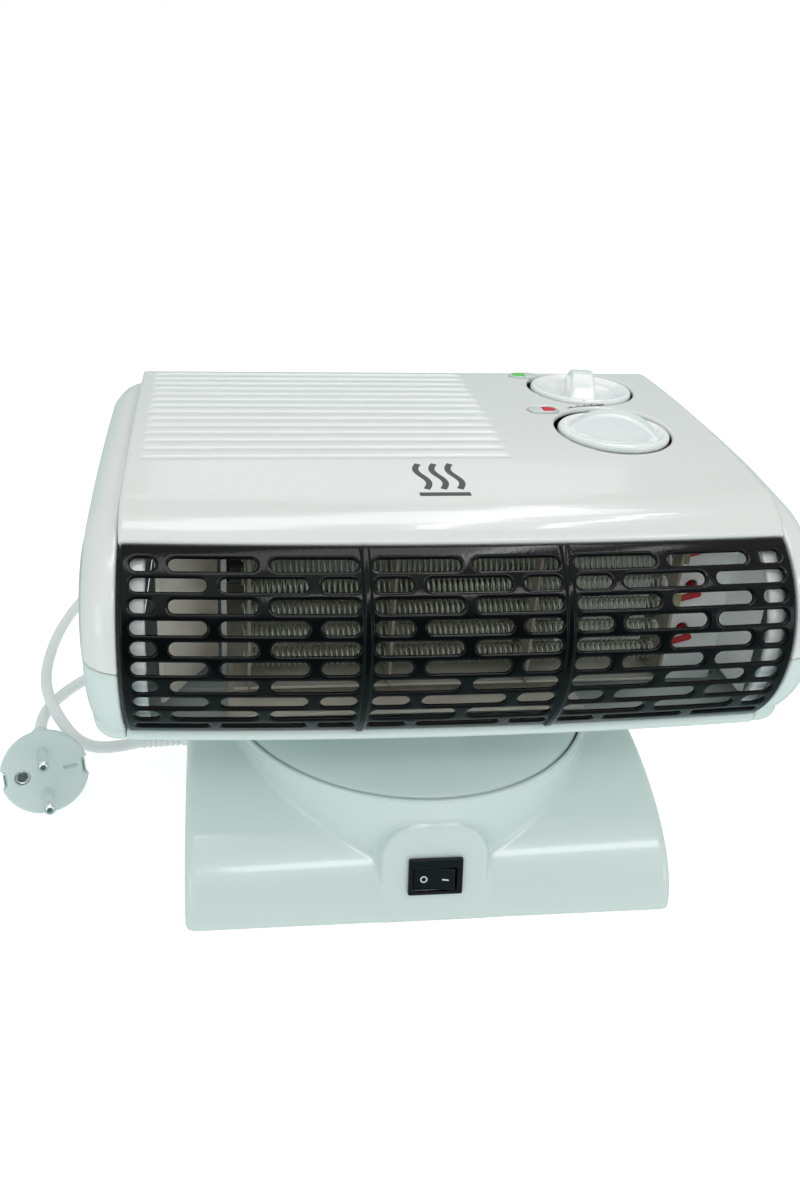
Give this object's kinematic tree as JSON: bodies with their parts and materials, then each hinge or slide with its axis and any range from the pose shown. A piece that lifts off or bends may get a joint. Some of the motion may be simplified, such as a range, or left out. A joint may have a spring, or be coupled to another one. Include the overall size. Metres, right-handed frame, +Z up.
{
  "type": "fan convector heater",
  "caption": "Table-top fan heater: rounded box head with front outlet grille, top inlet louvre and two dials, on a swinging turntable base with a rocker switch and plug-ended cord.",
  "frame": {"origin": "middle of the underside of the rubber feet, at the centre of the object's box without its cord", "axes": "+Z up, +X to the right seen from the front, the outlet grille faces -Y"},
  "size_m": [0.3046, 0.3089, 0.1822],
  "materials": {
    "white_gloss": "gloss",
    "white_inner": "satin",
    "smoke_grey": "gloss",
    "black_gloss": "gloss",
    "black_rocker": "satin",
    "zinc_sheet": "satin",
    "steel": "satin",
    "laminated_iron": "matte",
    "copper_wire": "satin",
    "mica": "matte",
    "resistance_wire": "satin",
    "brass": "polished",
    "black_plastic": "matte",
    "fan_alloy": "satin",
    "motor_can": "satin",
    "acetal": "satin",
    "clear_lens": "polished",
    "red_lamp": "gloss",
    "green_lamp": "gloss",
    "red_sleeve": "satin",
    "lead_sleeve": "satin",
    "rubber": "matte",
    "white_pvc": "satin",
    "tie_band": "matte"
  },
  "bodies": {
    "base": {"base_housing": "white_gloss", "base_plate": "white_inner", "rubber_feet": "rubber", "base_screws": "steel", "swivel_bush": "acetal", "swing_motor": "motor_can", "switch_housing": "black_gloss", "swivel_leads": "lead_sleeve", "cord_gland": "white_pvc", "supply_cord_a": "white_pvc", "supply_cord_b": "white_pvc", "cord_coil": "white_pvc", "cord_tie": "tie_band", "plug_body": "white_pvc", "plug_contacts": "brass"},
    "head": {"turntable": "white_gloss", "turntable_screws": "steel", "hub_retainer": "steel", "bottom_shell": "white_gloss", "top_shell": "white_gloss", "left_cap_upper": "white_gloss", "left_cap_lower": "white_gloss", "right_cap_upper": "white_gloss", "right_cap_lower": "white_gloss", "left_side_insert": "smoke_grey", "right_side_insert": "smoke_grey", "front_grille": "black_gloss", "shell_screws": "steel", "left_partition": "white_inner", "right_partition": "white_inner", "shaft_bush": "brass", "scroll_plate": "zinc_sheet", "duct_floor": "zinc_sheet", "tongue_plate": "zinc_sheet", "left_cheek": "zinc_sheet", "right_cheek": "white_inner", "fan_motor_stator": "laminated_iron", "fan_motor_winding": "copper_wire", "fan_motor_brackets": "zinc_sheet", "heating_coils": "resistance_wire", "mica_cards": "mica", "heater_rails": "zinc_sheet", "heater_terminals": "brass", "thermal_cutout": "black_plastic", "thermostat_body": "black_plastic", "selector_body": "black_plastic", "indicator_lenses": "clear_lens", "power_lamp": "red_lamp", "heat_lamp": "green_lamp", "red_leads": "red_sleeve", "terminal_block": "white_inner"},
    "crank": {"swing_crank": "black_plastic"},
    "rocker": {"switch_rocker": "black_rocker"},
    "fan": {"impeller": "fan_alloy", "impeller_shaft": "steel", "fan_motor_rotor": "laminated_iron"},
    "thermostat_dial": {"thermostat_knob": "white_gloss", "thermostat_spindle": "steel"},
    "selector_dial": {"selector_knob": "white_gloss", "selector_spindle": "steel"}
  },
  "joints": [
    {"name": "body_swivel", "type": "hinge", "parent": "base", "child": "head", "pos_m": [0, 0.0046, 0.045], "axis": [0, 0, 1], "range_deg": [-35, 35]},
    {"name": "crank_turn", "type": "hinge", "parent": "base", "child": "crank", "pos_m": [0, 0.0406, 0.043], "axis": [0, 0, 1], "range_deg": [-90.1, 90.1]},
    {"name": "swing_switch", "type": "hinge", "parent": "base", "child": "rocker", "pos_m": [0, -0.08023, 0.01964], "axis": [0, 0.225, 0.9744], "range_deg": [0, 13]},
    {"name": "fan_spin", "type": "hinge", "parent": "head", "child": "fan", "pos_m": [0, 0.0266, 0.128], "axis": [1, 0, 0], "continuous": true},
    {"name": "thermostat_turn", "type": "hinge", "parent": "head", "child": "thermostat_dial", "pos_m": [0.0734, -0.0047, 0.1728], "axis": [0, 0, 1], "range_deg": [0, 270]},
    {"name": "selector_turn", "type": "hinge", "parent": "head", "child": "selector_dial", "pos_m": [0.076, 0.0428, 0.1758], "axis": [0, 0, 1], "range_deg": [0, 135]}
  ],
  "couplings": [
    {"joint": "crank_turn", "follows": "body_swivel", "ratio": 2.5714}
  ]
}
